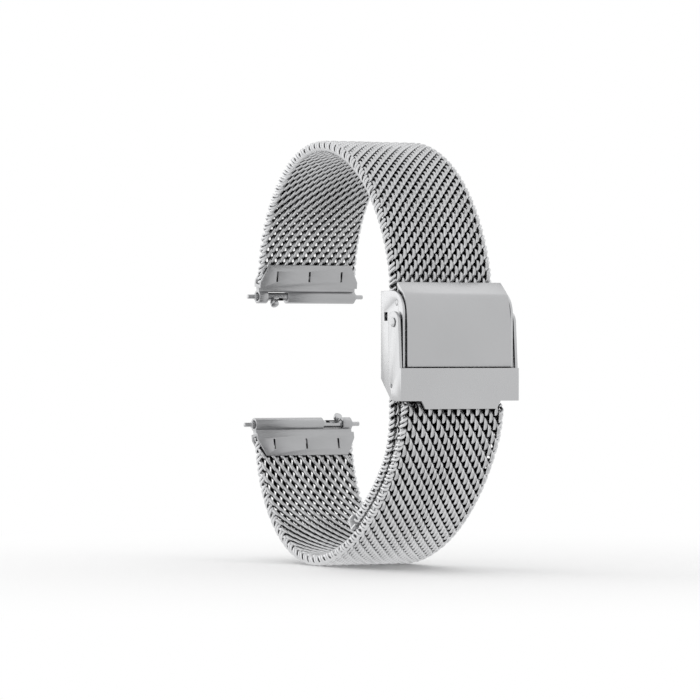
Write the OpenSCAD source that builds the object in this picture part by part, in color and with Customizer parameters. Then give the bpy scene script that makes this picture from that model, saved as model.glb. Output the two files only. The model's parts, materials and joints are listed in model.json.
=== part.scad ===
// Woven steel watch bracelet with a sliding clasp, a safety bail and two quick-release bars.
// The two band halves run round the wrist in the Y-Z plane, and X lies across the band.
// A pose is [y, z, heading in degrees], and every piece is placed by a pose on its own run.
// The long half runs up from the clasp and over the top, the short half down and under.

/* [Band] */
// Width of the woven band
band_w = 20; // [16:0.5:24]
// Thickness of the woven band
band_t = 2; // [1.8:0.1:2.4]
// Radius of the long half just above the clasp
shoulder_r = 12.2; // [11:0.2:16]
// Turn of the long half just above the clasp
shoulder_turn = 17; // [14:1:20]
// Radius of the long half in front of the top
brow_r = 30.8; // [28:0.2:34]
// Turn of the long half in front of the top
brow_turn = 60.4; // [57:0.2:63]
// Radius of the long half over the top and down the back
crown_r = 24.7; // [23:0.1:27]
// Turn of the long half over the top and down the back
crown_turn = 93.4; // [90:0.2:96]
// Radius of the short half just below the clasp
chin_r = 15.2; // [13:0.2:18]
// Turn of the short half just below the clasp
chin_turn = 29.4; // [27:0.2:32]
// Radius of the short half in front of the bottom
keel_r = 42.8; // [40:0.2:46]
// Turn of the short half in front of the bottom
keel_turn = 51.2; // [48:0.2:54]
// Radius of the short half under the bottom and up the back
base_r = 23.2; // [22:0.1:26]
// Turn of the short half under the bottom and up the back
base_turn = 86.8; // [83:0.2:90]
// Turn of the long half's loose tail inside the short half
tail_turn = 20; // [12:1:24]
// Gap between the loose tail and the short half
tail_gap = 0.5; // [0.4:0.05:0.8]
// Pitch of the long half's rows of wire
long_row = 1.04; // [0.9:0.02:1.4]
// Pitch of the short half's rows of wire
short_row = 1.24; // [0.9:0.02:1.4]
// Depth of the valley between two rows
row_valley = 0.4; // [0.2:0.05:0.45]
// Width of the valley between two rows
row_gap = 0.44; // [0.3:0.02:0.5]

/* [Flex knuckles] */
// Radius of the round bead at a flex line
bead_r = 0.6; // [0.5:0.05:0.65]
// Thickness of the neck that carries the bead
neck_t = 0.5; // [0.4:0.05:0.6]
// Play round the bead
bead_play = 0.04; // [0.02:0.01:0.06]
// Reach of the socket's lips past the flex line
lip = 0.3; // [0.25:0.05:0.35]
// Distance from the flex line to the shoulder behind the neck
neck_l = 0.9; // [0.85:0.05:1.2]

/* [End fittings] */
// Outer radius of the bar sleeve
sleeve_r = 1.25; // [1.15:0.05:1.5]
// Distance from the bar to the folded plates
plate_start = 1.75; // [1.6:0.05:2.2]
// Length of the folded plates
plate_l = 4.35; // [3.6:0.05:5.5]
// Width taken off each plate corner
plate_corner_w = 1.6; // [0.8:0.1:2.4]
// Length of the square part of the plates
plate_square_l = 1.15; // [0.8:0.05:1.6]
// Thickness of the fitting's sheet
sheet_t = 0.5; // [0.4:0.05:0.6]
// Depth that each plate stands proud of the band
plate_proud = 0.3; // [0.2:0.05:0.45]
// Length of a crimp slot
slot_l = 1.9; // [1:0.1:2.4]
// Width of a crimp slot
slot_w = 0.35; // [0.2:0.05:0.6]
// Pitch of the three crimp slots
slot_pitch = 6.6; // [5:0.2:7]
// Length of the end lug beside the release window
lug_l = 1.8; // [1.4:0.1:2.2]
// Length of the release window
window_l = 4.1; // [3.8:0.1:5]

/* [Quick-release bars] */
// Radius of a bar's barrel
barrel_r = 0.75; // [0.65:0.05:0.8]
// Wall of the barrel
barrel_wall = 0.15; // [0.12:0.01:0.22]
// Radius of the tip that enters the lug hole
tip_r = 0.4; // [0.3:0.05:0.45]
// Length of the tip
tip_l = 1.4; // [1:0.1:1.8]
// Reach of the tip past the band's edge
tip_reach = 1.85; // [1.6:0.05:2.2]
// Travel of the release knob
release_travel = 1.8; // [1.2:0.1:1.9]
// Radius of the release knob
knob_r = 0.75; // [0.6:0.05:0.85]
// Height of the release knob above the bar's axis
knob_h = 2.1; // [1.9:0.1:2.5]
// Wire radius of the bar's spring
spring_wire_r = 0.08; // [0.06:0.01:0.1]

/* [Clasp] */
// Height of the frame above the bail pivot
frame_up = 5.5; // [5:0.1:7]
// Depth of the frame below the bail pivot
frame_down = 13.5; // [13:0.1:15]
// Thickness of the frame's sheet
frame_t = 0.6; // [0.4:0.05:0.8]
// Thickness of the frame's side walls
wall_t = 0.45; // [0.35:0.05:0.6]
// Play between the band's edge and a side wall
side_play = 0.35; // [0.2:0.05:0.5]
// Play between the band's face and the frame's floor
floor_play = 0.15; // [0.1:0.05:0.3]
// Corner radius of the side walls
wall_corner_r = 4; // [2:0.5:4.5]
// Height from the band's face to the face of the cover plate
cover_rise = 6.15; // [6:0.05:7]
// Thickness of the cover plate
cover_t = 0.7; // [0.5:0.05:0.8]
// Play between the cover plate and a side wall
cover_play = 0.2; // [0.15:0.05:0.4]
// Radius of the cover's hinge pin
cover_pin_r = 0.5; // [0.4:0.05:0.6]
// Radius of the bar that the short half hooks on
hook_bar_r = 0.7; // [0.6:0.05:0.8]
// Thickness of the hook's sheet
hook_t = 0.5; // [0.4:0.05:0.55]
// Play between the hook and its bar
hook_play = 0.06; // [0.03:0.01:0.1]

/* [Safety bail] */
// Height of the crossbar's face
crossbar_h = 5.7; // [5:0.1:6.5]
// Thickness of the crossbar's sheet
crossbar_t = 0.6; // [0.4:0.05:0.7]
// Distance from the pivot down to the crossbar
crossbar_drop = 7.9; // [7.8:0.05:8.2]
// Width of a bail arm
arm_w = 3.8; // [3:0.1:4.2]
// Thickness of a bail arm
arm_t = 0.5; // [0.4:0.05:0.7]
// Play between a bail arm and the frame
arm_play = 0.3; // [0.25:0.05:0.5]
// Width of the finger tab
tab_w = 14; // [8:0.5:18]
// Height of the finger tab
tab_h = 1.4; // [0.8:0.1:2]
// Radius of a pivot rivet's head
rivet_head_r = 0.8; // [0.7:0.05:1.1]
// Radius of a pivot rivet's shank
rivet_r = 0.5; // [0.4:0.05:0.55]

/* [Hidden] */
$fn = 96;
slack = 0.02;
arc_step = 3;
pivot_play = 0.05;

// Stations across the band
band_edge = band_w / 2;
wall_in = band_edge + side_play;
wall_out = wall_in + wall_t;
arm_in = wall_out + arm_play;
arm_out = arm_in + arm_t;
cover_edge = wall_in - cover_play;

// Stations outward from the long half's middle, which is y = 0 at the clasp, with the pivot at z = 0
band_face = -band_t / 2;
curl_r = hook_bar_r + hook_play + hook_t;
hook_space = 1.64;
hook_y = band_face - hook_space - curl_r;
hook_z = -10.7;
pivot_y = hook_y - 0.6;
cover_y = band_face - cover_rise;
cover_pin_y = cover_y + 2.85;
cover_pin_z = 3.4;
cover_foot = -crossbar_drop + 0.2;
wall_front = cover_y + 0.45;
crossbar_y = cover_y - 0.75;
floor_in = band_t / 2 + floor_play;
floor_out = floor_in + frame_t;

// Turns of the cover plate towards its upper lip
cover_flat_l = 6.55;
cover_bow_face_r = 17;
cover_bow_r = cover_bow_face_r - cover_t / 2;
cover_bow_turn = 18;
cover_bend_face_r = 2.6;
cover_bend_r = cover_bend_face_r - cover_t / 2;
cover_bend_turn = 33;
cover_lip_l = 2.7;

// Length of the thin tongue of band held inside a fold, and its thickness
fold_wall = 0.6;
fold_play = 0.05;
fold_t = band_t + 2 * plate_proud;
tongue_t = fold_t - 2 * sheet_t - 2 * fold_play;
plate_end = plate_start + plate_l;
tongue_l = plate_l - fold_wall;

// Depth that a neck or a tongue is drawn in from the band's edges
core_inset = 0.1;
// Distance before a flex line where the rows stop, so that no valley weakens its socket
row_rest = 0.8;

// Fold of the hook cap, and where the short half's face begins below it
cap_l = 1.4;
cap_top = hook_z - 1.5;
cap_foot = cap_top - cap_l;
short_y = hook_y - 0.7;
hook_bend = 0.06;
mouth_slope = 20;

// Runs of the band as poses: [y, z, heading]
right = -1;
left = 1;
function ahead(p, d) = [p[0] + d * cos(p[2]), p[1] + d * sin(p[2]), p[2]];
function turned(p, r, a, s) =
    let (h = p[2] + s * a)
    [p[0] - s * r * (sin(p[2]) - sin(h)), p[1] + s * r * (cos(p[2]) - cos(h)), h];

long_start = [0, frame_up + 1.2, 90];
long_brow = turned(long_start, shoulder_r, shoulder_turn, right);
long_crown = turned(long_brow, brow_r, brow_turn, right);
crown_half = crown_turn / 2;
long_back = turned(long_crown, crown_r, crown_half, right);
long_end = turned(long_back, crown_r, crown_turn - crown_half, right);
long_bar = ahead(long_end, plate_end);

short_start = [short_y, cap_foot - 0.1, -90];
short_top = [short_start[0], short_start[1], 90];
short_keel = turned(short_start, chin_r, chin_turn, left);
keel_first_turn = 32;
short_flex = turned(short_keel, keel_r, keel_first_turn, left);
short_base = turned(short_flex, keel_r, keel_turn - keel_first_turn, left);
base_half = base_turn / 2;
short_back = turned(short_base, base_r, base_half, left);
short_end = turned(short_back, base_r, base_turn - base_half, left);
short_bar = ahead(short_end, plate_end);

// The loose tail leaves the clasp straight and then lies a gap inside the short half
keel_centre = [short_keel[0] - keel_r * sin(short_keel[2]), short_keel[1] + keel_r * cos(short_keel[2])];
tail_r = keel_r - band_t - tail_gap;
tail_bend_r = 15;
tail_bend_turn = acos((keel_centre[0] - tail_bend_r) / (tail_r - tail_bend_r));
tail_top = keel_centre[1] - (tail_r - tail_bend_r) * sin(tail_bend_turn);
tail_start = [0, tail_top, -90];
tail_straight = [long_start[0], long_start[1], -90];
tail_keel = turned(tail_start, tail_bend_r, tail_bend_turn, left);
tail_end = turned(tail_keel, tail_r, tail_turn, left);
tail_cap_l = 1.9;
tail_cap_t = band_t + 0.2;
tail_sheet = 0.3;
tail_tongue_t = tail_cap_t - 2 * tail_sheet - 2 * fold_play;

// Stations along a bar, with the release knob on the -X side
bore_r = barrel_r + pivot_play;
barrel_in_r = barrel_r - barrel_wall;
plunger_r = barrel_in_r - slack * 2;
bar_end = band_edge + tip_reach;
shoulder_x = bar_end - tip_l;
barrel_end = band_edge - 0.5;
lug_end = band_edge - 0.1;
window_start = lug_end - lug_l;
knob_x = window_start - knob_r - 0.45;
knob_stem_r = 0.3;
knob_base = 1.3;
knob_tilt = 53;
plunger_tail = 1.3;
fixed_tail = 1.5;
plunger_foot = knob_x - plunger_tail;
fixed_foot = barrel_end - fixed_tail;
spring_turns = 14;

// The part stands with the middle of its lowest point at the origin
base_centre = [short_base[0] - base_r * sin(short_base[2]), short_base[1] + base_r * cos(short_base[2])];
z_low = base_centre[1] - base_r - band_t / 2;
y_front = crossbar_y;
y_back = short_bar[0] + sleeve_r;
origin_y = (y_front + y_back) / 2;

module in_row() translate([0, -origin_y, -z_low]) children();
module at(p) translate([0, p[0], p[1]]) rotate([p[2], 0, 0]) children();
module rod(r, x0, x1) translate([x0, 0, 0]) rotate([0, 90, 0]) cylinder(r = r, h = x1 - x0);
module slab(x, y0, y1, z0, z1) translate([-x, y0, z0]) cube([2 * x, y1 - y0, z1 - z0]);
// An outline in the Y-Z plane, given as [y, z] points and drawn from x0 to x1
module side_plate(x0, x1) translate([x0, 0, 0]) rotate([90, 0, 90]) linear_extrude(x1 - x0) children();

// Poses along a round stretch of radius r, from its start p up to its end
function round_run(p, r, a, s) =
    let (n = ceil(a / arc_step))
    [for (i = [0 : n - 1]) turned(p, r, a * i / n, s)];
function beside(p, off) = [p[0] - off * sin(p[2]), p[1] + off * cos(p[2])];
function back_to_front(v) = [for (i = [len(v) - 1 : -1 : 0]) v[i]];
function after_first(v) = [for (i = [1 : len(v) - 1]) v[i]];

// Poses along a stretch of band of length l, straight where r is 0, with a valley for each row of wire.
// A fourth number in a pose is the depth of the valley there. The rows keep off both ends as said.
function arc_l(r, a) = r * a * PI / 180;
function along(p, r, d, s) = r == 0 ? ahead(p, d) : turned(p, r, d / arc_l(r, 1), s);
function row_run(p, r, l, s, row, first = 0, last = 0) =
    let (n = round((l - first - last) / row), pitch = (l - first - last) / n)
    concat([along(p, r, first, s)],
        [for (i = [0 : n - 1], side = [-1 : 1])
            concat(along(p, r, first + (i + 0.5) * pitch + side * row_gap / 2, s),
                [side == 0 ? row_valley : 0])]);
function valley(p) = len(p) > 3 ? p[3] : 0;
function other_way(poses) = [for (p = back_to_front(poses)) [p[0], p[1], p[2] + 180, valley(p)]];

// A strip of sheet or band that follows a list of poses
module strip(poses, t, x) side_plate(-x, x)
    polygon(concat([for (p = poses) beside(p, t / 2 - valley(p))],
        back_to_front([for (p = poses) beside(p, valley(p) - t / 2)])));

// A flex line: the parent's socket is bored at the pose, and the child's bead turns in it
module socket_bore(p) at(p) rod(bead_r + bead_play, -band_edge - 1, band_edge + 1);
module bead(p) at(p) {
    rod(bead_r, -band_edge, band_edge);
    slab(band_edge - core_inset, 0, neck_l + 0.3, -neck_t / 2, neck_t / 2);
}
// A thin tongue of band that a fold grips, drawn a little way back into the full band
module tongue(p, d, t) at(p) slab(band_edge - core_inset, -0.2, d, -t / 2, t / 2);

// The long half, from the upper end to the tail. Each stretch ends in a flex line.
module long_band_end() color("silver") in_row() {
    strip(concat(
        row_run(long_back, crown_r, arc_l(crown_r, crown_turn - crown_half), right, long_row, neck_l),
        [long_end]), band_t, band_edge);
    bead(long_back);
    tongue(long_end, tongue_l, tongue_t);
}
module long_band_crown() color("silver") in_row() {
    difference() {
        strip(concat(
            row_run(long_crown, crown_r, arc_l(crown_r, crown_half), right, long_row, neck_l, row_rest),
            [long_back, ahead(long_back, lip)]), band_t, band_edge);
        socket_bore(long_back);
    }
    bead(long_crown);
}
module long_band_brow() color("silver") in_row() {
    difference() {
        strip(concat(
            row_run(long_brow, brow_r, arc_l(brow_r, brow_turn), right, long_row, neck_l, row_rest),
            [long_crown, ahead(long_crown, lip)]), band_t, band_edge);
        socket_bore(long_crown);
    }
    bead(long_brow);
}
module long_band_front() color("silver") in_row() {
    tail = concat(row_run(tail_straight, 0, long_start[1] - tail_top, left, long_row),
        row_run(tail_start, tail_bend_r, arc_l(tail_bend_r, tail_bend_turn), left, long_row),
        row_run(tail_keel, tail_r, arc_l(tail_r, tail_turn), left, long_row), [tail_end]);
    difference() {
        strip(concat(other_way(after_first(tail)),
            row_run(long_start, shoulder_r, arc_l(shoulder_r, shoulder_turn), right, long_row, 0, row_rest),
            [long_brow, ahead(long_brow, lip)]), band_t, band_edge);
        socket_bore(long_brow);
    }
    tongue(tail_end, tail_cap_l - tail_sheet, tail_tongue_t);
}

// A folded cap closes the tail
module tail_cap() color("gainsboro") in_row() at(tail_end) difference() {
    slab(band_edge, 0.05, tail_cap_l + 0.05, -tail_cap_t / 2, tail_cap_t / 2);
    slab(band_edge + 1, 0, tail_cap_l + 0.05 - tail_sheet + fold_play,
        -tail_tongue_t / 2 - fold_play, tail_tongue_t / 2 + fold_play);
}

// The short half, from the clasp to the lower end
module short_band_front() color("silver") in_row() {
    difference() {
        strip(concat(row_run(short_start, chin_r, arc_l(chin_r, chin_turn), left, short_row),
            row_run(short_keel, keel_r, arc_l(keel_r, keel_first_turn), left, short_row, 0, row_rest),
            [short_flex, ahead(short_flex, lip)]), band_t, band_edge);
        socket_bore(short_flex);
    }
    tongue(short_top, cap_top - sheet_t - fold_play - short_start[1], tongue_t);
}
module short_band_base() color("silver") in_row() {
    difference() {
        strip(concat(
            row_run(short_flex, keel_r, arc_l(keel_r, keel_turn - keel_first_turn), left, short_row, neck_l),
            row_run(short_base, base_r, arc_l(base_r, base_half), left, short_row, 0, row_rest),
            [short_back, ahead(short_back, lip)]), band_t, band_edge);
        socket_bore(short_back);
    }
    bead(short_flex);
}
module short_band_end() color("silver") in_row() {
    strip(concat(
        row_run(short_back, base_r, arc_l(base_r, base_turn - base_half), left, short_row, neck_l),
        [short_end]), band_t, band_edge);
    bead(short_back);
    tongue(short_end, tongue_l, tongue_t);
}

// The hook cap folds round the short half's end and curls over the hook bar
module hook_cap() color("gainsboro") in_row() {
    difference() {
        slab(band_edge, short_y - fold_t / 2, short_y + fold_t / 2, cap_foot, cap_top);
        slab(band_edge + 1, short_y - tongue_t / 2 - fold_play, short_y + tongue_t / 2 + fold_play,
            cap_foot - 1, cap_top - sheet_t);
    }
    translate([0, hook_y, hook_z]) difference() {
        union() {
            rod(curl_r, -band_edge, band_edge);
            slab(band_edge, hook_bend - curl_r, hook_bend + hook_t - curl_r, cap_top - hook_z - 0.2, 0);
        }
        rod(hook_bar_r + hook_play, -band_edge - 1, band_edge + 1);
        // The mouth lies between the leg and the curl's free edge
        side_plate(-band_edge - 1, band_edge + 1)
            polygon([[hook_bend + hook_t - curl_r, -2 * curl_r], [2 * curl_r, -2 * curl_r],
                [2 * curl_r, 2 * curl_r * tan(mouth_slope)], [0, 0], [hook_bend + hook_t - curl_r, 0]]);
    }
}

// The end fitting lies along its bar, with the band towards -Y and the outer face towards +Z
module plate_outline()
    polygon([[-band_edge, -plate_start], [-band_edge, -plate_start - plate_square_l],
        [-band_edge + plate_corner_w, -plate_end], [band_edge - plate_corner_w, -plate_end],
        [band_edge, -plate_start - plate_square_l], [band_edge, -plate_start]]);
module end_fitting() {
    difference() {
        union() {
            rod(sleeve_r, -lug_end, lug_end);
            slab(lug_end, -plate_start - 0.1, -bore_r - 0.1, -0.6, 0.6);
        }
        rod(bore_r, -band_w, band_w);
        translate([-window_start, -bore_r - 0.15, -band_t]) cube([window_l, 3 * sleeve_r, 2 * band_t]);
    }
    difference() {
        translate([0, 0, -fold_t / 2]) linear_extrude(fold_t) plate_outline();
        slab(band_edge + 1, -plate_end - 1, -plate_start - fold_wall,
            -fold_t / 2 + sheet_t, fold_t / 2 - sheet_t);
        for (i = [-1 : 1])
            translate([i * slot_pitch - slot_w / 2, -plate_start - (plate_l + slot_l) / 2, -fold_t])
                cube([slot_w, slot_l, fold_t]);
    }
}
module upper_end_fitting() color("lightsteelblue") in_row() at(long_bar) end_fitting();
module lower_end_fitting() color("lightsteelblue") in_row() at(short_bar) rotate([0, 180, 0]) end_fitting();

// The bar's barrel is slit where the knob's stem travels
module bar_barrel() difference() {
    rod(barrel_r, -barrel_end, barrel_end);
    rod(barrel_in_r, -band_w, band_w);
    rotate([-knob_tilt, 0, 0])
        translate([-knob_x - knob_stem_r - pivot_play, 0, -knob_stem_r - pivot_play])
            cube([release_travel + 2 * knob_stem_r + 2 * pivot_play, 2 * barrel_r,
                2 * knob_stem_r + 2 * pivot_play]);
}
module bar_tip() {
    rod(barrel_in_r, fixed_foot, shoulder_x);
    rod(tip_r, shoulder_x - slack, bar_end);
}
module bar_plunger() {
    rod(plunger_r, -shoulder_x, -plunger_foot);
    rod(tip_r, -bar_end, -shoulder_x + slack);
    rotate([-knob_tilt, 0, 0]) translate([-knob_x, 0, 0]) rotate([-90, 0, 0]) {
        cylinder(r = knob_stem_r, h = knob_base + 0.1);
        translate([0, 0, knob_base]) cylinder(r = knob_r, h = knob_h - knob_base);
    }
}
// The spring is one helix of round wire between the plunger and the fixed tip
spring_sides = 5;
spring_steps = 8;
spring_r = barrel_in_r - spring_wire_r - 0.06;
spring_x0 = -plunger_foot + spring_wire_r + slack;
spring_x1 = fixed_foot - spring_wire_r - slack;
module bar_spring() {
    rings = spring_turns * spring_steps;
    ring_at = function (k) [for (j = [0 : spring_sides - 1])
        let (a = 360 * k / spring_steps, b = 360 * j / spring_sides,
            r = spring_r + spring_wire_r * cos(b))
        [spring_x0 + (spring_x1 - spring_x0) * k / rings + spring_wire_r * sin(b), r * cos(a), r * sin(a)]];
    points = [for (k = [0 : rings]) each ring_at(k)];
    sides = [for (k = [0 : rings - 1], j = [0 : spring_sides - 1])
        let (a = k * spring_sides + j, b = k * spring_sides + (j + 1) % spring_sides)
        each [[a, b, a + spring_sides], [b, b + spring_sides, a + spring_sides]]];
    first = [for (j = [1 : spring_sides - 2]) [0, j + 1, j]];
    n = rings * spring_sides;
    last = [for (j = [1 : spring_sides - 2]) [n, n + j, n + j + 1]];
    polyhedron(points, concat(sides, first, last));
}
module upper_bar_barrel() color("darkgray") in_row() at(long_bar) bar_barrel();
module upper_bar_tip() color("darkgray") in_row() at(long_bar) bar_tip();
module upper_bar_plunger() color("gray") in_row() at(long_bar) bar_plunger();
module upper_bar_spring() color("dimgray") in_row() at(long_bar) bar_spring();
module lower_bar_barrel() color("darkgray") in_row() at(short_bar) rotate([0, 180, 0]) bar_barrel();
module lower_bar_tip() color("darkgray") in_row() at(short_bar) rotate([0, 180, 0]) bar_tip();
module lower_bar_plunger() color("gray") in_row() at(short_bar) rotate([0, 180, 0]) bar_plunger();
module lower_bar_spring() color("dimgray") in_row() at(short_bar) rotate([0, 180, 0]) bar_spring();

// The clasp's frame is a channel: a floor behind the long half and a wall on each side
wall_foot_z = -9.8;
wall_foot_y = -2.1;
module wall_outline() difference() {
    union() {
        polygon([[floor_out, wall_foot_z], [floor_out, frame_up],
            [wall_front + wall_corner_r, frame_up], [wall_front + wall_corner_r, frame_up - wall_corner_r],
            [wall_front, frame_up - wall_corner_r], [wall_front, -frame_down],
            [wall_foot_y, -frame_down]]);
        translate([wall_front + wall_corner_r, frame_up - wall_corner_r]) circle(wall_corner_r);
    }
    translate([-0.75, 0.3]) square([1.25, 1.5]);
    translate([pivot_y, 0]) circle(rivet_r + slack);
    translate([hook_y, hook_z]) circle(hook_bar_r + slack);
    translate([cover_pin_y, cover_pin_z]) circle(cover_pin_r + slack);
}
module slider_frame() color("whitesmoke") in_row() {
    slab(wall_out, floor_in, floor_out, wall_foot_z, frame_up);
    side_plate(-wall_out, -wall_in) wall_outline();
    side_plate(wall_in, wall_out) wall_outline();
}
module hook_bar() color("gray") in_row() translate([0, hook_y, hook_z]) rod(hook_bar_r, -wall_out, wall_out);
module cover_pin() color("gray") in_row() translate([0, cover_pin_y, cover_pin_z])
    rod(cover_pin_r, -wall_out, wall_out);

// The cover plate is a lever: its nose bears on the band when it is shut
cover_foot_pose = [cover_y + cover_t / 2, cover_foot, 90];
cover_bow_pose = ahead(cover_foot_pose, cover_flat_l);
cover_bend_pose = turned(cover_bow_pose, cover_bow_r, cover_bow_turn, right);
cover_lip_pose = turned(cover_bend_pose, cover_bend_r, cover_bend_turn, right);
cover_run = concat([cover_foot_pose], round_run(cover_bow_pose, cover_bow_r, cover_bow_turn, right),
    round_run(cover_bend_pose, cover_bend_r, cover_bend_turn, right),
    [cover_lip_pose, ahead(cover_lip_pose, cover_lip_l)]);
hub_r = cover_pin_r + 0.8;
web_h = 1;
nose_h = 1.5;
module cover_plate() color("silver") in_row() {
    strip(cover_run, cover_t, cover_edge);
    difference() {
        union() {
            translate([0, cover_pin_y, cover_pin_z]) rod(hub_r, -cover_edge + 0.4, cover_edge - 0.4);
            slab(cover_edge - 0.4, cover_y + 0.9, cover_pin_y, cover_pin_z - web_h, cover_pin_z);
            slab(cover_edge - 0.4, cover_pin_y, band_face - 0.1, cover_pin_z - nose_h, cover_pin_z);
        }
        translate([0, cover_pin_y, cover_pin_z]) rod(cover_pin_r + pivot_play, -band_w, band_w);
    }
}

// The safety bail is one folded strip: two arms, a crossbar and a finger tab
arm_half = arm_w / 2;
crossbar_foot = -crossbar_drop - crossbar_h;
bend_corner_r = 0.7;
cheek_back = pivot_y + 1.7;
cheek_l = 10;
dimple_r = 0.35;
dimple_y = pivot_y + 0.7;
dimple_z = -11;
module arm_outline() difference() {
    union() {
        circle_at_pivot(arm_half);
        polygon([[pivot_y - arm_half, 0], [pivot_y + arm_half, 0], [cheek_back, -cheek_l],
            [cheek_back - 1.3, crossbar_foot], [crossbar_y + bend_corner_r, crossbar_foot],
            [crossbar_y + bend_corner_r, -crossbar_drop], [pivot_y - arm_half - 0.6, -crossbar_drop]]);
    }
    circle_at_pivot(rivet_r + pivot_play);
}
module circle_at_pivot(r) translate([pivot_y, 0]) circle(r);
// The crossbar seen along Z, as a channel with round outer corners
module crossbar_outline() difference() {
    union() {
        translate([-arm_out, crossbar_y + bend_corner_r]) square([2 * arm_out, crossbar_t]);
        translate([-arm_out + bend_corner_r, crossbar_y])
            square([2 * (arm_out - bend_corner_r), bend_corner_r + crossbar_t]);
        for (s = [-1, 1]) translate([s * (arm_out - bend_corner_r), crossbar_y + bend_corner_r])
            circle(bend_corner_r);
    }
    translate([-arm_in, crossbar_y + crossbar_t]) square([2 * arm_in, 2 * crossbar_t]);
}
module safety_bail() color("silver") in_row() {
    for (s = [-1, 1]) mirror([s < 0 ? 1 : 0, 0, 0]) {
        difference() {
            side_plate(arm_in, arm_out) arm_outline();
            translate([arm_out - arm_t / 2, dimple_y, dimple_z]) rotate([0, 90, 0])
                cylinder(r = dimple_r, h = arm_t);
        }
        translate([arm_in - arm_play / 2, dimple_y, dimple_z]) rotate([0, 90, 0])
            cylinder(r = dimple_r, h = arm_play / 2 + 0.1);
    }
    translate([0, 0, crossbar_foot]) linear_extrude(crossbar_h) crossbar_outline();
    translate([0, crossbar_y + crossbar_t, 0]) rotate([90, 0, 0]) linear_extrude(crossbar_t)
        polygon([[-tab_w / 2, crossbar_foot - tab_h], [tab_w / 2, crossbar_foot - tab_h],
            [tab_w / 2 + 0.8, crossbar_foot + 0.1], [-tab_w / 2 - 0.8, crossbar_foot + 0.1]]);
}
rivet_head_t = 0.15;
module bail_rivet() translate([0, pivot_y, 0]) {
    rod(rivet_r, wall_in, arm_out + rivet_head_t);
    rod(rivet_head_r, arm_out + slack, arm_out + slack + rivet_head_t);
}
module bail_rivet_left() color("gray") in_row() mirror([1, 0, 0]) bail_rivet();
module bail_rivet_right() color("gray") in_row() bail_rivet();

long_band_end();
long_band_crown();
long_band_brow();
long_band_front();
tail_cap();
short_band_front();
short_band_base();
short_band_end();
hook_cap();
upper_end_fitting();
upper_bar_barrel();
upper_bar_tip();
upper_bar_plunger();
upper_bar_spring();
lower_end_fitting();
lower_bar_barrel();
lower_bar_tip();
lower_bar_plunger();
lower_bar_spring();
slider_frame();
hook_bar();
cover_plate();
cover_pin();
safety_bail();
bail_rivet_left();
bail_rivet_right();
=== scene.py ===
# %% [markdown]
# # A woven steel watch bracelet
# This lesson dresses a finished mechanical model of a metal watch bracelet. The model comes in as a
# fixed frame of named bodies, and each sheet or turned piece made here rides on one of them.
# Everything is in metres, X runs across the band, the clasp faces -Y, and +Z is up.

# %% Load the frame
import json
import math

import bmesh
import bpy
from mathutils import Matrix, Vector


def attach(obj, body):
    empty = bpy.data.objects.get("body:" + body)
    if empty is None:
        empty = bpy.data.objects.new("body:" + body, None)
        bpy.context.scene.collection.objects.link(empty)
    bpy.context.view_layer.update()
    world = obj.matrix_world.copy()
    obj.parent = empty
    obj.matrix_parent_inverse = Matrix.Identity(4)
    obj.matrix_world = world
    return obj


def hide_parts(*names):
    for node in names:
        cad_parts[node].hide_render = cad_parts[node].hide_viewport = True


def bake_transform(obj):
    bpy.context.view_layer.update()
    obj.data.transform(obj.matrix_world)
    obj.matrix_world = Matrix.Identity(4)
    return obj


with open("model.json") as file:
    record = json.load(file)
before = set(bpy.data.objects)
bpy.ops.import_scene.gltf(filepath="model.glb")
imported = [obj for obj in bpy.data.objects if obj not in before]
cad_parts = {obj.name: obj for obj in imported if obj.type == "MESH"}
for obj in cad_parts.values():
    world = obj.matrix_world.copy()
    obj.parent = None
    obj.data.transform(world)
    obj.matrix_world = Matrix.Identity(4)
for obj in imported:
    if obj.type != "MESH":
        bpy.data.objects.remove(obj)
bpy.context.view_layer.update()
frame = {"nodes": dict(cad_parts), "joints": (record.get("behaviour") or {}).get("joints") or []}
MM = 0.001
joint_place = {j["name"]: Vector(j["pos_m"]) for j in frame["joints"] if j.get("pos_m")}

# %% [markdown]
# ## Camera
# The photograph was taken level with the middle of the bracelet and from far away, so its edges
# hardly converge. A long lens from three quarters of a metre gives the same flat perspective. The
# frame is shifted a little instead of turning the camera, so that upright edges stay upright.

# %% Camera
camera_turn = 27
camera_away = 769.8 * MM
focal_pixels = 4285
picture_width = 700
sensor_width = 36
principal_pixel = (382, 353)
aim_height = 38.39 * MM
aim_depth = -1.883 * MM
camera_data = bpy.data.cameras.new("level_camera")
camera_data.sensor_width = sensor_width
camera_data.lens = focal_pixels / picture_width * sensor_width
camera_data.shift_x = (picture_width / 2 - principal_pixel[0]) / picture_width
camera_data.shift_y = (principal_pixel[1] - picture_width / 2) / picture_width
camera = bpy.data.objects.new("level_camera", camera_data)
turn = math.radians(camera_turn)
camera.location = (-camera_away * math.sin(turn), aim_depth - camera_away * math.cos(turn), aim_height)
camera.rotation_euler = (math.pi / 2, 0, -turn)
bpy.context.scene.collection.objects.link(camera)
bpy.context.scene.camera = camera
bpy.context.scene.view_settings.view_transform = "Standard"
print("lens:", round(camera_data.lens, 1), "mm")

# %% [markdown]
# ## Floor, sky and lamps
# Steel shows what is around it, so the studio matters as much as the metal. The floor is pale near
# the bracelet, where it holds the soft shadow, and passes into plain white further out, so that no
# horizon shows. In reflections all of it is white. The sky is white to the camera and in
# reflections too, and its light on the floor is slightly weaker.


# %% Small helpers for node trees
def add_node(tree, kind, **settings):
    node = tree.nodes.new(kind)
    for name, value in settings.items():
        setattr(node, name, value)
    return node


def join(tree, source, target):
    tree.links.new(source, target)


def feed(tree, value, socket):
    """Sets a socket to a number, or joins the output of another node to it."""
    if isinstance(value, (int, float)):
        socket.default_value = value
    else:
        join(tree, value, socket)


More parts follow.
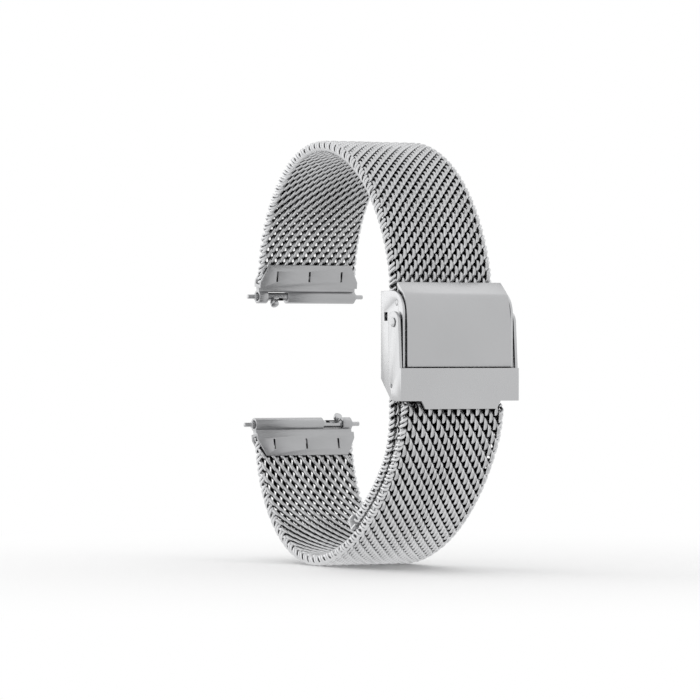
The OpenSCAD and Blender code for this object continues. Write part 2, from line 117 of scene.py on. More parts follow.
def shader_math(tree, operation, *values):
    node = add_node(tree, "ShaderNodeMath", operation=operation)
    for socket, value in zip(node.inputs, values):
        feed(tree, value, socket)
    return node.outputs[0]


def seen_rays(tree):
    """Two switches: one for rays straight from the camera, one for reflections and transmissions."""
    path = add_node(tree, "ShaderNodeLightPath")
    mirrored = shader_math(tree, "MAXIMUM", path.outputs["Is Glossy Ray"],
                           path.outputs["Is Transmission Ray"])
    return path.outputs["Is Camera Ray"], mirrored


# %% Sky
sky_fill = 0.95
sky = bpy.data.worlds.new("white_studio")
sky.use_nodes = True
sky_tree = sky.node_tree
sky_tree.nodes.clear()
sky_background = add_node(sky_tree, "ShaderNodeBackground")
sky_background.inputs["Color"].default_value = (1, 1, 1, 1)
share_seen = shader_math(sky_tree, "MAXIMUM", *seen_rays(sky_tree))
strength = shader_math(sky_tree, "MULTIPLY_ADD", share_seen, 1 - sky_fill, sky_fill)
join(sky_tree, strength, sky_background.inputs["Strength"])
sky_output = add_node(sky_tree, "ShaderNodeOutputWorld")
join(sky_tree, sky_background.outputs[0], sky_output.inputs["Surface"])
bpy.context.scene.world = sky

# %% Floor
floor_size = 6.0
shadow_ring = (0.06, 0.16)
floor_colour = (0.96, 0.96, 0.96, 1)
floor_mesh = bpy.data.meshes.new("floor")
half = floor_size / 2
floor_mesh.from_pydata([(-half, -half, 0), (half, -half, 0), (half, half, 0), (-half, half, 0)], [],
                       [(0, 1, 2, 3)])
floor = bpy.data.objects.new("floor", floor_mesh)
bpy.context.scene.collection.objects.link(floor)
floor_finish = bpy.data.materials.new("pale_floor")
floor_finish.use_nodes = True
floor_tree = floor_finish.node_tree
floor_tree.nodes.clear()
place = add_node(floor_tree, "ShaderNodeTexCoord")
away = add_node(floor_tree, "ShaderNodeVectorMath", operation="LENGTH")
join(floor_tree, place.outputs["Object"], away.inputs[0])
fade = add_node(floor_tree, "ShaderNodeMapRange", interpolation_type="SMOOTHSTEP")
fade.inputs["From Min"].default_value, fade.inputs["From Max"].default_value = shadow_ring
join(floor_tree, away.outputs["Value"], fade.inputs["Value"])
straight, mirrored = seen_rays(floor_tree)
to_white = shader_math(floor_tree, "MAXIMUM", mirrored,
                       shader_math(floor_tree, "MULTIPLY", fade.outputs["Result"], straight))
paint = add_node(floor_tree, "ShaderNodeBsdfDiffuse")
paint.inputs["Color"].default_value = floor_colour
white = add_node(floor_tree, "ShaderNodeEmission")
white.inputs["Strength"].default_value = 1
mix = add_node(floor_tree, "ShaderNodeMixShader")
join(floor_tree, to_white, mix.inputs[0])
join(floor_tree, paint.outputs[0], mix.inputs[1])
join(floor_tree, white.outputs[0], mix.inputs[2])
floor_output = add_node(floor_tree, "ShaderNodeOutputMaterial")
join(floor_tree, mix.outputs[0], floor_output.inputs["Surface"])
floor_mesh.materials.append(floor_finish)

# %% Lamps
# Each softbox has its place, its size and its power, and points at the middle of the bracelet.
aim_point = Vector((0, 0, aim_height))
softboxes = {
    "left_softbox": ((-0.30, 0.44, 0.10), 0.60, 0.7),
    "top_softbox": ((0.30, 0.09, 0.61), 0.40, 0.15),
}
for name, (spot, size, power) in softboxes.items():
    lamp_data = bpy.data.lights.new(name, "AREA")
    lamp_data.shape = "SQUARE"
    lamp_data.size = size
    lamp_data.energy = power
    lamp = bpy.data.objects.new(name, lamp_data)
    lamp.location = spot
    lamp.rotation_euler = (aim_point - Vector(spot)).to_track_quat("-Z", "Y").to_euler()
    bpy.context.scene.collection.objects.link(lamp)
print("lamps:", list(softboxes))

# %% [markdown]
# ## Steel
# Every piece is stainless steel, and what tells them apart is the finish. The folded sheets are
# satin, and the cap on the loose tail is a brighter one. The cover is finely brushed, the bail and
# the frame are polished. One function makes all of them: a metal whose roughness and bump follow
# fine streaks of noise, and whose tone varies a little in broad clouds. The wire's colour also holds
# painted shade and painted highlights, which follow its depth in the band, stored by the weave as
# face_depth: painted shade, nearly black, where no light gets in, a painted highlight on the
# shoulders of the wire, and a painted dimmer reflection that greys the ground faces.

# %% A steel finish
ROUGHNESS_SPREAD = (0.8, 1.25)
CLOUDS_PER_METRE = 60
CLOUD_SPAN = (0.3, 0.7)
STREAK_DETAIL, CLOUD_DETAIL = 3, 4
BUMP_STRENGTH = 0.6


def steel(name, colour, roughness, streaks, streak_depth, uneven=0.05, painted_shade_and_highlight=()):
    """Steel of a colour and roughness, with streaks given as their counts per metre along X, Y and Z.

    Each entry of painted_shade_and_highlight is a span of face_depth and the levels at its two ends:
    levels below 1 paint shade into the colour, and levels above 1 paint a highlight.
    """
    material = bpy.data.materials.new(name)
    material.use_nodes = True
    tree = material.node_tree
    metal = tree.nodes["Principled BSDF"]
    metal.inputs["Metallic"].default_value = 1
    place = add_node(tree, "ShaderNodeTexCoord")
    stretch = add_node(tree, "ShaderNodeMapping")
    stretch.inputs["Scale"].default_value = streaks
    join(tree, place.outputs["Object"], stretch.inputs["Vector"])
    streak = add_node(tree, "ShaderNodeTexNoise")
    streak.inputs["Scale"].default_value = 1
    streak.inputs["Detail"].default_value = STREAK_DETAIL
    join(tree, stretch.outputs["Vector"], streak.inputs["Vector"])
    cloud = add_node(tree, "ShaderNodeTexNoise")
    cloud.inputs["Scale"].default_value = CLOUDS_PER_METRE
    cloud.inputs["Detail"].default_value = CLOUD_DETAIL
    join(tree, place.outputs["Object"], cloud.inputs["Vector"])
    rough = add_node(tree, "ShaderNodeMapRange")
    rough.inputs["To Min"].default_value = roughness * ROUGHNESS_SPREAD[0]
    rough.inputs["To Max"].default_value = roughness * ROUGHNESS_SPREAD[1]
    join(tree, streak.outputs["Fac"], rough.inputs["Value"])
    join(tree, rough.outputs["Result"], metal.inputs["Roughness"])
    shade = add_node(tree, "ShaderNodeMapRange")
    shade.inputs["From Min"].default_value, shade.inputs["From Max"].default_value = CLOUD_SPAN
    shade.inputs["To Min"].default_value = 1 - uneven
    shade.inputs["To Max"].default_value = 1 + uneven
    join(tree, cloud.outputs["Fac"], shade.inputs["Value"])
    tint = add_node(tree, "ShaderNodeVectorMath", operation="SCALE")
    tint.inputs[0].default_value = colour
    level = shade.outputs["Result"]
    # Painted shade and painted highlights: the colour is scaled by levels that follow face_depth.
    for span, levels in painted_shade_and_highlight:
        depth = add_node(tree, "ShaderNodeAttribute", attribute_name="face_depth")
        tone = add_node(tree, "ShaderNodeMapRange", interpolation_type="SMOOTHSTEP")
        tone.inputs["From Min"].default_value, tone.inputs["From Max"].default_value = span
        tone.inputs["To Min"].default_value, tone.inputs["To Max"].default_value = levels
        join(tree, depth.outputs["Fac"], tone.inputs["Value"])
        level = shader_math(tree, "MULTIPLY", level, tone.outputs["Result"])
    join(tree, level, tint.inputs["Scale"])
    join(tree, tint.outputs["Vector"], metal.inputs["Base Color"])
    bump = add_node(tree, "ShaderNodeBump")
    bump.inputs["Distance"].default_value = streak_depth
    bump.inputs["Strength"].default_value = BUMP_STRENGTH
    join(tree, streak.outputs["Fac"], bump.inputs["Height"])
    join(tree, bump.outputs["Normal"], metal.inputs["Normal"])
    return material


# %% The finishes
# Painted light in the wire's colour: painted shade, nearly black, in the recesses, a painted highlight on
# the shoulders, and a painted dimmer reflection that greys the ground faces.
recess_shade_to_shoulder_highlight = ((0.06, 0.46), (0.015, 1.18))
shoulder_highlight_to_face_shade = ((0.76, 0.92), (1.0, 0.70))
# Each has its colour, its roughness, its streaks per metre along X, Y and Z, and how deep they are.
wire_steel = steel("ground_wire", (0.57, 0.573, 0.58), 0.32, (900, 900, 900), 3e-6, uneven=0.06,
                   painted_shade_and_highlight=(recess_shade_to_shoulder_highlight, shoulder_highlight_to_face_shade))
satin_steel = steel("satin_sheet", (0.44, 0.443, 0.45), 0.34, (700, 9000, 9000), 2e-6)
cap_steel = steel("bright_cap", (0.74, 0.743, 0.75), 0.34, (700, 9000, 9000), 2e-6)
cover_steel = steel("brushed_cover", (0.49, 0.493, 0.50), 0.30, (9000, 2500, 450), 2.5e-6, uneven=0.03)
bail_steel = steel("polished_bail", (0.51, 0.513, 0.52), 0.28, (5000, 5000, 800), 1e-6, uneven=0.03)
frame_steel = steel("polished_frame", (0.55, 0.553, 0.56), 0.28, (3000, 900, 3000), 1e-6)
pin_steel = steel("turned_pin", (0.46, 0.463, 0.47), 0.24, (6000, 900, 900), 1.5e-6)
spring_steel = steel("drawn_spring", (0.30, 0.30, 0.31), 0.35, (3000, 3000, 3000), 1e-6)
print("finishes:", [m.name for m in bpy.data.materials if m.name != "pale_floor"])

# %% [markdown]
# ## The band's two runs
# The band is worn closed, so each half follows arcs round the wrist. A pose is a point in the Y-Z
# plane and a heading in degrees, and a run is a list of poses joined by straights and arcs. Each
# half is worked out from a flex line of the frame in both directions, and the two parts are then
# put together as one run that goes up at the clasp.

# %% Poses along arcs
ARC_STEP = 1.0


def on_arc(pose, radius, turned, side):
    """The pose after an arc that turns by so many degrees: side is 1 to the left and -1 to the right."""
    y, z, heading = pose
    first, last = math.radians(heading), math.radians(heading + side * turned)
    return (y - side * radius * (math.sin(first) - math.sin(last)),
            z + side * radius * (math.cos(first) - math.cos(last)), heading + side * turned)


def straight_on(pose, length):
    y, z, heading = pose
    return (y + length * math.cos(math.radians(heading)), z + length * math.sin(math.radians(heading)),
            heading)


def turned_back(pose):
    y, z, heading = pose
    return (y, z, heading + 180)


def run_from(pose, stretches):
    """Poses along stretches, each an arc (radius, degrees, side) or a straight (length,)."""
    poses = [pose]
    for stretch in stretches:
        start = poses[-1]
        if len(stretch) == 1:
            poses.append(straight_on(start, stretch[0]))
            continue
        radius, turned, side = stretch
        count = math.ceil(turned / ARC_STEP)
        poses += [on_arc(start, radius, turned * (i + 1) / count, side) for i in range(count)]
    return poses


def run_length(poses):
    return sum(math.dist(a[:2], b[:2]) for a, b in zip(poses, poses[1:]))


def arc_length(arc, share=1):
    """The length of a share of an arc (radius, degrees)."""
    radius, turned = arc
    return radius * math.radians(turned * share)


# %% The long half and the short half
LEFT, RIGHT = 1, -1
# Each arc is a radius and the degrees it turns by, fitted to the band in the photograph.
shoulder, brow, crown = (12.2 * MM, 17), (30.8 * MM, 60.4), (24.7 * MM, 93.4)
chin, keel, base = (15.2 * MM, 29.4), (42.8 * MM, 51.2), (23.2 * MM, 86.8)
keel_first_turn = 32
clasp_straight = 22.79 * MM
tail_bend, tail_curve = (15 * MM, 39.1), (40.3 * MM, 20)
fold_reach = 3.7 * MM
brow_start = (*joint_place["flex_long_c"].yz, 90 - shoulder[1])
keel_flex = (*joint_place["flex_short_a"].yz, -90 + chin[1] + keel_first_turn)
down_to_tail = run_from(turned_back(brow_start), [(*shoulder, LEFT), (clasp_straight,),
                                                  (*tail_bend, LEFT), (*tail_curve, LEFT)])
up_and_over = run_from(brow_start, [(*brow, RIGHT), (*crown, RIGHT), (fold_reach,)])
long_run = down_to_tail[:0:-1] + up_and_over
up_to_hook = run_from(turned_back(keel_flex), [(keel[0], keel_first_turn, RIGHT), (*chin, RIGHT)])
down_and_under = run_from(keel_flex, [(keel[0], keel[1] - keel_first_turn, LEFT), (*base, LEFT),
                                      (fold_reach,)])
short_run = down_and_under[:0:-1] + up_to_hook
tail_length = run_length(down_to_tail)
flex_at = {
    "flex_long_c": tail_length,
    "flex_long_b": tail_length + arc_length(brow),
    "flex_long_a": tail_length + arc_length(brow) + arc_length(crown, 0.5),
    "flex_short_b": fold_reach + arc_length(base, 0.5),
    "flex_short_a": run_length(down_and_under),
}
long_length, short_length = run_length(long_run), run_length(short_run)
long_fold, short_fold = long_length - fold_reach, fold_reach
print("long half:", round(long_length / MM, 1), "mm, short half:", round(short_length / MM, 1), "mm")


# %% Runs as curves
def path_curve(name, poses):
    """A curve object through the poses, for the rows to follow. It is removed once they are woven."""
    curve = bpy.data.curves.new(name, "CURVE")
    curve.dimensions = "3D"
    spline = curve.splines.new("POLY")
    spline.points.add(len(poses) - 1)
    for point, pose in zip(spline.points, poses):
        point.co = (0, *pose[:2], 1)
    path = bpy.data.objects.new(name, curve)
    bpy.context.scene.collection.objects.link(path)
    return path


def place_on(poses, length):
    """The point at a length along a run."""
    for a, b in zip(poses, poses[1:]):
        step = math.dist(a[:2], b[:2])
        if length <= step:
            share = length / step
            return Vector((0, a[0] + (b[0] - a[0]) * share, a[1] + (b[1] - a[1]) * share))
        length -= step
    return Vector((0, *poses[-1][:2]))


long_path = path_curve("long_path", long_run)
short_path = path_curve("short_path", short_run)
for name, length in flex_at.items():
    run = long_run if "long" in name else short_run
    miss = (place_on(run, length) - Vector((0, *joint_place[name].yz))).length
    print(name, "lies", round(miss / MM, 3), "mm from the run")

# %% [markdown]
# ## The weave
# A Milanese band is a stack of flat wire springs. Each spring runs across the band, is screwed into
# the one below it half a pitch aside, and all of them are then pressed and ground until both faces
# are flat. It could be painted as a bump, but its dark gaps and its bright shoulders come from real
# depth, helped by painted shade and painted highlights in the wire's colour. So one Geometry Nodes
# tree makes it: it draws a spring from a formula, repeats it in rows, winds two wires along each
# edge for the plait there, flattens what stands proud of the faces, and lays everything along the
# run. In the formula a turn swings by Reach to both sides of its row.
# Tail Lean gathers its sideways travel at one end, End Lean shears it, Tip raises one end of it and
# sinks the other, and Swell thickens the wire where it lies on a face.


# %% A formula helper for Geometry Nodes
class Formula:
    """Writes sums as math nodes in a tree, so that a formula reads from left to right."""

    def __init__(self, tree):
        self.tree = tree

    def op(self, operation, *values):
        return shader_math(self.tree, operation, *values)

    def add(self, *values):
        total = values[0]
        for value in values[1:]:
            total = self.op("ADD", total, value)
        return total

    def times(self, *values):
        total = values[0]
        for value in values[1:]:
            total = self.op("MULTIPLY", total, value)
        return total

    def less(self, a, b):
        return self.op("SUBTRACT", a, b)

    def over(self, a, b):
        return self.op("DIVIDE", a, b)

    def limited(self, value):
        """The value, kept between -1 and 1."""
        return self.op("MAXIMUM", self.op("MINIMUM", value, 1), -1)

    def vector(self, x, y, z):
        node = add_node(self.tree, "ShaderNodeCombineXYZ")
        for socket, value in zip(node.inputs, (x, y, z)):
            feed(self.tree, value, socket)
        return node.outputs[0]


# %% The inputs of the weave
WEAVE_NUMBERS = [
    "Row Pitch", "Turns", "Column Pitch", "Reach", "Half Thickness", "Wire Radius", "Tip", "Tail Lean",
    "End Lean", "Hand", "Swell", "Fold", "Fold Side", "Edge", "Edge Bulge", "Edge Wire", "Edge Pitch",
    "Edge Depth",
]
WEAVE_INPUTS = [
    ("Path", "NodeSocketObject"), ("Material", "NodeSocketMaterial"),
    ("First Row", "NodeSocketInt"), ("Rows", "NodeSocketInt"),
    *((label, "NodeSocketFloat") for label in WEAVE_NUMBERS),
]
# The steps in one turn of a spring and the sides of its wire, then the same for the edge wires.
TURN_STEPS = 12
WIRE_SIDES = 6
EDGE_STEPS = 16
EDGE_SIDES = 8
FULL_TURN = 2 * math.pi


def empty_tree(name, inputs):
    tree = bpy.data.node_groups.new(name, "GeometryNodeTree")
    tree.interface.new_socket("Geometry", in_out="INPUT", socket_type="NodeSocketGeometry")
    for label, kind in inputs:
        tree.interface.new_socket(label, in_out="INPUT", socket_type=kind)
    tree.interface.new_socket("Geometry", in_out="OUTPUT", socket_type="NodeSocketGeometry")
    return tree, add_node(tree, "NodeGroupInput"), add_node(tree, "NodeGroupOutput")


def wire_along(tree, count, position, radius, swell, sides):
    """Sweeps a wire along a line of points that a formula has placed, thicker where swell says."""
    line = add_node(tree, "GeometryNodeMeshLine")
    join(tree, count, line.inputs["Count"])
    placed = add_node(tree, "GeometryNodeSetPosition")
    join(tree, line.outputs["Mesh"], placed.inputs["Geometry"])
    join(tree, position, placed.inputs["Position"])
    curve = add_node(tree, "GeometryNodeMeshToCurve")
    join(tree, placed.outputs["Geometry"], curve.inputs["Mesh"])
    girth = add_node(tree, "GeometryNodeSetCurveRadius")
    join(tree, curve.outputs["Curve"], girth.inputs["Curve"])
    feed(tree, swell, girth.inputs["Radius"])
    kept = add_node(tree, "GeometryNodeInputRadius")
    circle = add_node(tree, "GeometryNodeCurvePrimitiveCircle")
    circle.inputs["Resolution"].default_value = sides
    join(tree, radius, circle.inputs["Radius"])
    swept = add_node(tree, "GeometryNodeCurveToMesh")
    join(tree, girth.outputs["Curve"], swept.inputs["Curve"])
    join(tree, kept.outputs[0], swept.inputs["Scale"])
    join(tree, circle.outputs["Curve"], swept.inputs["Profile Curve"])
    swept.inputs["Fill Caps"].default_value = True
    return swept.outputs["Mesh"]


# %% One spring of wire, drawn flat
def spring_row(tree, given, odd):
    """A spring across the band. X is across, Y along the run, Z out of the band's face.

    odd is 1 or 0, and an odd row starts half a turn on.
    """
    sums = Formula(tree)
    index = add_node(tree, "GeometryNodeInputIndex").outputs[0]
    turns_done = sums.over(index, TURN_STEPS)
    angle = sums.times(sums.add(turns_done, odd / 2), FULL_TURN)
    along = sums.times(sums.op("COSINE", angle), given["Reach"], given["Hand"])
    rise = sums.op("SINE", sums.add(angle, given["Tip"]))
    outward = sums.times(rise, given["Half Thickness"])
    tail_sway = sums.times(sums.op("SINE", angle), given["Tail Lean"], 1 / FULL_TURN)
    end_sway = sums.times(sums.op("COSINE", angle), given["End Lean"])
    pitches = sums.less(sums.add(sums.less(sums.times(given["Turns"], 0.5), turns_done), tail_sway),
                        end_sway)
    across = sums.times(pitches, given["Column Pitch"])
    on_face = sums.op("ABSOLUTE", rise)
    swell = sums.add(sums.times(on_face, on_face, on_face, given["Swell"]), 1)
    count = sums.add(sums.times(given["Turns"], TURN_STEPS), 1)
    return wire_along(tree, count, sums.vector(across, along, outward), given["Wire Radius"], swell,
                      WIRE_SIDES)


# %% The plaited edge
STRAND_SHIFTS = (0.0, 0.38)


def edge_strand(tree, given, side, shift):
    """One wire that winds along the band's edge, shifted along it by a share of its own pitch."""
    sums = Formula(tree)
    index = add_node(tree, "GeometryNodeInputIndex").outputs[0]
    step = sums.over(given["Edge Pitch"], EDGE_STEPS)
    along = sums.add(sums.times(index, step), sums.times(given["First Row"], given["Row Pitch"]))
    angle = sums.times(sums.add(sums.over(along, given["Edge Pitch"]), shift), FULL_TURN)
    across = sums.times(sums.add(given["Edge"], sums.times(sums.op("COSINE", angle), given["Edge Bulge"])),
                        side)
    outward = sums.times(sums.op("SINE", angle), given["Edge Depth"], -side)
    length = sums.times(given["Rows"], given["Row Pitch"])
    count = sums.add(sums.op("ROUND", sums.over(length, step)), 1)
    return wire_along(tree, count, sums.vector(across, along, outward), given["Edge Wire"], 1.0,
                      EDGE_SIDES)


# %% Rows and edges, laid out flat
def flat_band(tree, given):
    """All springs in their rows and the wires of both edges, as one real mesh with the run along Y."""
    sums = Formula(tree)
    pair = add_node(tree, "GeometryNodeJoinGeometry")
    for odd in (1, 0):
        packed = add_node(tree, "GeometryNodeGeometryToInstance")
        join(tree, spring_row(tree, given, odd), packed.inputs[0])
        join(tree, packed.outputs[0], pair.inputs[0])
    row = sums.add(add_node(tree, "GeometryNodeInputIndex").outputs[0], given["First Row"])
    rows = add_node(tree, "GeometryNodeMeshLine")
    join(tree, given["Rows"], rows.inputs["Count"])
    spread = add_node(tree, "GeometryNodeSetPosition")
    join(tree, rows.outputs["Mesh"], spread.inputs["Geometry"])
    row_place = sums.times(sums.add(row, 0.5), given["Row Pitch"])
    join(tree, sums.vector(0, row_place, 0), spread.inputs["Position"])
    stack = add_node(tree, "GeometryNodeInstanceOnPoints")
    join(tree, spread.outputs["Geometry"], stack.inputs["Points"])
    join(tree, pair.outputs[0], stack.inputs["Instance"])
    stack.inputs["Pick Instance"].default_value = True
    join(tree, sums.op("FLOORED_MODULO", row, 2), stack.inputs["Instance Index"])
    parts = add_node(tree, "GeometryNodeJoinGeometry")
    join(tree, stack.outputs["Instances"], parts.inputs[0])
    for side in (-1, 1):
        for shift in STRAND_SHIFTS:
            join(tree, edge_strand(tree, given, side, shift), parts.inputs[0])
    real = add_node(tree, "GeometryNodeRealizeInstances")
    join(tree, parts.outputs[0], real.inputs[0])
    return real.outputs[0]


# %% [markdown]
# ## Grinding and depth
# Every point is moved back to the ground face if it stands proud of it. FACE is half the thickness
# of the band, and inside a folded fitting each face is squeezed in a little more. Then each point
# gets its face_depth, the mask by which the wire's colour paints its shade and highlights. It is 1
# on a side that faces out at a ground face, 0 in the middle of the band, and negative on a side
# that faces in. The spreads let a side that leans a little still count as facing out. At the two
# edges, a side that faces out sideways counts as well, and the value stays below that of the ground
# faces, so the edges keep the painted highlight and are not greyed like the faces.

# %% Heights and depths
FACE = 1.0 * MM
FOLD_SQUEEZE, FOLD_RAMP = 0.24 * MM, 0.3 * MM
FACE_SPREAD, EDGE_SPREAD = 1.35, 1.4
EDGE_FLOOR, EDGE_RISE, EDGE_SHINE = 8.95 * MM, 0.5 * MM, 0.25


def ground_height(tree, given, place):
    """The height of a point after the grinding."""
    sums = Formula(tree)
    into_fold = add_node(tree, "ShaderNodeMapRange")
    into_fold.inputs["From Max"].default_value = FOLD_RAMP
    join(tree, sums.times(sums.less(place["Y"], given["Fold"]), given["Fold Side"]),
         into_fold.inputs["Value"])
    limit = sums.less(FACE, sums.times(into_fold.outputs["Result"], FOLD_SQUEEZE))
    return sums.op("MAXIMUM", sums.op("MINIMUM", place["Z"], limit), sums.times(limit, -1))


# face_depth is the mask for the painted shade and painted highlights in the wire's colour.
def face_depth(tree, place, ground):
    """How near to the outside a point lies, for a point at a ground height."""
    sums = Formula(tree)
    facing = add_node(tree, "ShaderNodeSeparateXYZ")
    join(tree, add_node(tree, "GeometryNodeInputNormal").outputs[0], facing.inputs[0])
    upright = sums.times(facing.outputs["Z"], FACE_SPREAD)
    height = sums.times(sums.over(ground, FACE), sums.limited(upright))
    beyond = sums.over(sums.less(sums.op("ABSOLUTE", place["X"]), EDGE_FLOOR), EDGE_RISE)
    on_edge = sums.op("MAXIMUM", sums.limited(beyond), 0)
    sideways = sums.times(facing.outputs["X"], sums.op("SIGN", place["X"]), EDGE_SPREAD)
    edge_height = sums.times(on_edge, sums.limited(sideways))
    edge_cap = sums.less(1, sums.times(on_edge, EDGE_SHINE))
    return sums.op("MINIMUM", sums.op("MAXIMUM", height, edge_height), edge_cap)


# %% From flat to the run
def on_the_run(tree, given, place, ground):
    """Where a point of the flat band lies on its run, at its ground height out from it."""
    followed = add_node(tree, "GeometryNodeObjectInfo", transform_space="ORIGINAL")
    join(tree, given["Path"], followed.inputs["Object"])
    sample = add_node(tree, "GeometryNodeSampleCurve", mode="LENGTH")
    join(tree, followed.outputs["Geometry"], sample.inputs["Curves"])
    join(tree, place["Y"], sample.inputs["Length"])
    out = add_node(tree, "ShaderNodeVectorMath", operation="CROSS_PRODUCT")
    out.inputs[0].default_value = (1, 0, 0)
    join(tree, sample.outputs["Tangent"], out.inputs[1])
    unit = add_node(tree, "ShaderNodeVectorMath", operation="NORMALIZE")
    join(tree, out.outputs[0], unit.inputs[0])
    raised = add_node(tree, "ShaderNodeVectorMath", operation="SCALE")
    join(tree, unit.outputs[0], raised.inputs[0])
    join(tree, ground, raised.inputs["Scale"])
    shifted = add_node(tree, "ShaderNodeVectorMath", operation="ADD")
    join(tree, sample.outputs["Position"], shifted.inputs[0])
    join(tree, raised.outputs[0], shifted.inputs[1])
    across = add_node(tree, "ShaderNodeVectorMath", operation="ADD")
    join(tree, shifted.outputs[0], across.inputs[0])
    join(tree, Formula(tree).vector(place["X"], 0, 0), across.inputs[1])
    return across.outputs[0]


# %% The whole tree
def make_weave_tree():
    tree, inside, outside = empty_tree("woven_rows", WEAVE_INPUTS)
    given = {label: inside.outputs[label] for label, kind in WEAVE_INPUTS}
    split_place = add_node(tree, "ShaderNodeSeparateXYZ")
    join(tree, add_node(tree, "GeometryNodeInputPosition").outputs[0], split_place.inputs[0])
    place = split_place.outputs
    ground = ground_height(tree, given, place)
    marked = add_node(tree, "GeometryNodeStoreNamedAttribute", data_type="FLOAT", domain="POINT")
    marked.inputs["Name"].default_value = "face_depth"
    join(tree, flat_band(tree, given), marked.inputs["Geometry"])
    join(tree, face_depth(tree, place, ground), marked.inputs["Value"])
    laid = add_node(tree, "GeometryNodeSetPosition")
    join(tree, marked.outputs["Geometry"], laid.inputs["Geometry"])
    join(tree, on_the_run(tree, given, place, ground), laid.inputs["Position"])
    finish = add_node(tree, "GeometryNodeSetMaterial")
    join(tree, laid.outputs["Geometry"], finish.inputs["Geometry"])
    join(tree, given["Material"], finish.inputs["Material"])
    join(tree, finish.outputs["Geometry"], outside.inputs[0])
    return tree


weave_tree = make_weave_tree()
print("weave tree:", len(weave_tree.nodes), "nodes")


# %% Turning a tree into a plain piece
def grown(name, tree, settings):
    """Runs a tree on an empty mesh and keeps the result as a plain mesh object at the origin."""
    holder = bpy.data.objects.new(name + "_holder", bpy.data.meshes.new(name + "_holder"))
    bpy.context.scene.collection.objects.link(holder)
    modifier = holder.modifiers.new("tree", "NODES")
    modifier.node_group = tree
    sockets = {s.name: s.identifier for s in tree.interface.items_tree if s.in_out == "INPUT"}
    for label, value in settings.items():
        modifier[sockets[label]] = value
    graph = bpy.context.evaluated_depsgraph_get()
    mesh = bpy.data.meshes.new_from_object(holder.evaluated_get(graph))
    mesh.name = name
    bpy.data.objects.remove(holder)
    for polygon in mesh.polygons:
        polygon.use_smooth = True
    piece = bpy.data.objects.new(name, mesh)
    bpy.context.scene.collection.objects.link(piece)
    return piece


def triangles(piece):
    return sum(len(p.vertices) - 2 for p in piece.data.polygons)


# %% [markdown]
# ## Weaving the five stretches
# The mechanical model bends at five flex lines, so the weave is cut midway between them, and each
# stretch holds one flex line. The rows are counted along the whole half, which keeps the pattern
# running across a cut. The photograph shows a slightly finer weave on the long half, and the short
# half lies the other way up, so its springs lean the other way.

# %% Sizes of the weave
long_weave = {
    "Path": long_path, "Material": wire_steel,
    "Row Pitch": 1.04 * MM, "Turns": 10.5, "Column Pitch": 1.77 * MM,
    "Reach": 0.99 * MM, "Half Thickness": 0.74 * MM, "Wire Radius": 0.275 * MM,
    "Tip": -0.15, "Tail Lean": 1.1, "End Lean": 0.09, "Hand": 1.0, "Swell": 0.35,
    "Fold": long_fold, "Fold Side": 1.0,
    "Edge": 9.38 * MM, "Edge Bulge": 0.32 * MM, "Edge Wire": 0.275 * MM,
    "Edge Pitch": 2.08 * MM, "Edge Depth": 0.66 * MM,
}
short_weave = {
    **long_weave, "Path": short_path,
    "Row Pitch": 1.24 * MM, "Turns": 10.0, "Column Pitch": 1.86 * MM,
    "Reach": 1.12 * MM, "Half Thickness": 0.77 * MM, "Wire Radius": 0.30 * MM,
    "Tip": 0.45, "Hand": -1.0, "Fold": short_fold, "Fold Side": -1.0, "Edge Pitch": 2.2 * MM,
}
halves = {"long": (long_weave, long_run), "short": (short_weave, short_run)}
# A reach on each side of a flex line, which is less beside the straight clasp. Nothing bends the weave by
# it.
bend_reach = {"flex_long_a": 9 * MM, "flex_long_b": 9 * MM, "flex_long_c": 4.5 * MM,
              "flex_short_a": 9 * MM, "flex_short_b": 9 * MM}


def woven_piece(name, half_name, first, last, joint, nodes):
    """Weaves the rows between two lengths along a half, and hides the frame parts that it stands for."""
    weave, run = halves[half_name]
    first_row, end_row = round(first / weave["Row Pitch"]), round(last / weave["Row Pitch"])
    piece = grown(name, weave_tree, {**weave, "First Row": first_row, "Rows": end_row - first_row})
    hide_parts(*nodes)
    middle, reach = flex_at[joint], bend_reach[joint]
    place_on(run, middle - reach)
    place_on(run, middle + reach)
    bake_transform(piece)
    print(name, "rows", first_row, "to", end_row, "with", triangles(piece), "triangles")


# %% Weave them
brow_middle = (flex_at["flex_long_c"] + flex_at["flex_long_b"]) / 2
crown_middle = (flex_at["flex_long_b"] + flex_at["flex_long_a"]) / 2
base_middle = (flex_at["flex_short_b"] + flex_at["flex_short_a"]) / 2
woven_piece("weave_front", "long", 0, brow_middle, "flex_long_c",
            ["long_band_front"])
woven_piece("weave_brow", "long", brow_middle, crown_middle, "flex_long_b",
            ["long_band_brow"])
woven_piece("weave_crown", "long", crown_middle, long_length, "flex_long_a",
            ["long_band_crown", "long_band_end"])
woven_piece("weave_base", "short", 0, base_middle, "flex_short_b",
            ["short_band_end", "short_band_base"])
woven_piece("weave_keel", "short", base_middle, short_length, "flex_short_a",
            ["short_band_front"])
for path in (long_path, short_path):
    bpy.data.objects.remove(path)

# %% [markdown]
# ## Sheet and turned parts
# The clasp and the fittings are folded, pressed and turned, and the frame already has their exact
# shapes. Real sheet never ends in a knife edge, though: every pressed edge is slightly round and
# catches a thin line of light. Each part is copied, its flat faces are joined up again, and its
# edges get a small bevel.

# %% A dressed copy of a frame part
SAME_POINT = 1e-6
FLAT_DEGREES, BEVEL_DEGREES, CREASE_DEGREES = 0.5, 32, 40
BEVEL_STEPS = 2


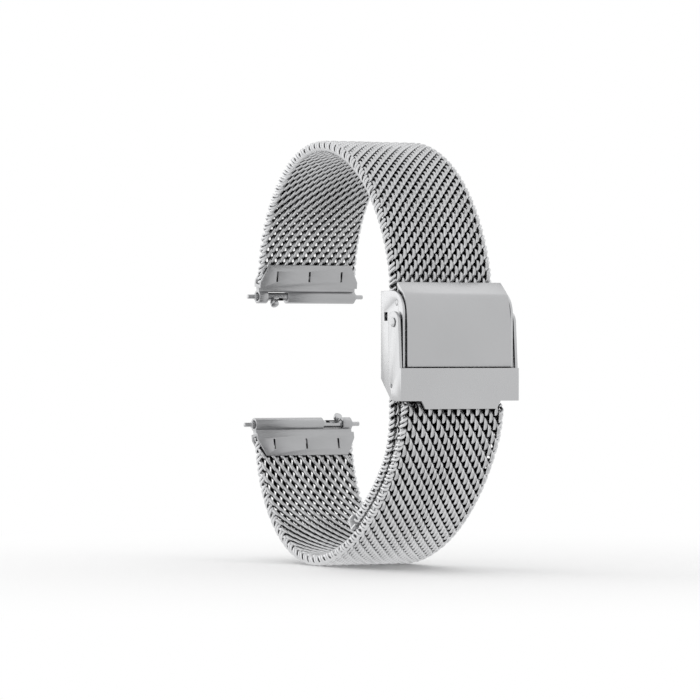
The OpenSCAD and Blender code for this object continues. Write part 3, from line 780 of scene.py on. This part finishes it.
def dressed(name, nodes, body, material, bevel=0.06 * MM):
    """A copy of some parts of the frame with bevelled edges, as one piece on one body."""
    shape = bmesh.new()
    for node in nodes:
        shape.from_mesh(frame["nodes"][node].data)
    bmesh.ops.remove_doubles(shape, verts=shape.verts, dist=SAME_POINT)
    bmesh.ops.dissolve_limit(shape, angle_limit=math.radians(FLAT_DEGREES), verts=shape.verts,
                             edges=shape.edges)
    mesh = bpy.data.meshes.new(name)
    shape.to_mesh(mesh)
    shape.free()
    mesh.materials.append(material)
    piece = bpy.data.objects.new(name, mesh)
    bpy.context.scene.collection.objects.link(piece)
    round_edges = piece.modifiers.new("round_edges", "BEVEL")
    round_edges.width = bevel
    round_edges.segments = BEVEL_STEPS
    round_edges.limit_method = "ANGLE"
    round_edges.angle_limit = math.radians(BEVEL_DEGREES)
    graph = bpy.context.evaluated_depsgraph_get()
    finished = bpy.data.meshes.new_from_object(piece.evaluated_get(graph))
    piece.modifiers.clear()
    piece.data = finished
    for polygon in finished.polygons:
        polygon.use_smooth = True
    finished.set_sharp_from_angle(angle=math.radians(CREASE_DEGREES))
    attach(piece, body)
    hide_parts(*nodes)
    print(name, "has", triangles(piece), "triangles")


# %% End fittings, caps and bars
for end, body in (("upper", "long_end"), ("lower", "short_end")):
    dressed(end + "_fitting", [end + "_end_fitting"], body, satin_steel)
    dressed(end + "_barrel", [end + "_bar_barrel"], body, pin_steel, bevel=0.03 * MM)
    dressed(end + "_tip", [end + "_bar_tip"], body, pin_steel, bevel=0.08 * MM)
    dressed(end + "_release", [end + "_bar_plunger"], end + "_plunger", pin_steel,
            bevel=0.08 * MM)
dressed("tail_end_cap", ["tail_cap"], "long_front", cap_steel)
dressed("hook_fold", ["hook_cap"], "short_front", satin_steel)

# %% Clasp
dressed("clasp_frame", ["slider_frame"], "slider", frame_steel)
dressed("clasp_cover", ["cover_plate"], "cover", cover_steel, bevel=0.12 * MM)
dressed("clasp_bail", ["safety_bail"], "bail", bail_steel, bevel=0.12 * MM)
for part in ("hook_bar", "cover_pin", "bail_rivet_left", "bail_rivet_right"):
    dressed(part + "_turned", [part], "slider", pin_steel)

# %% Springs in the bars
for end in ("upper", "lower"):
    node = frame["nodes"][end + "_bar_spring"]
    node.data.materials.clear()
    node.data.materials.append(spring_steel)
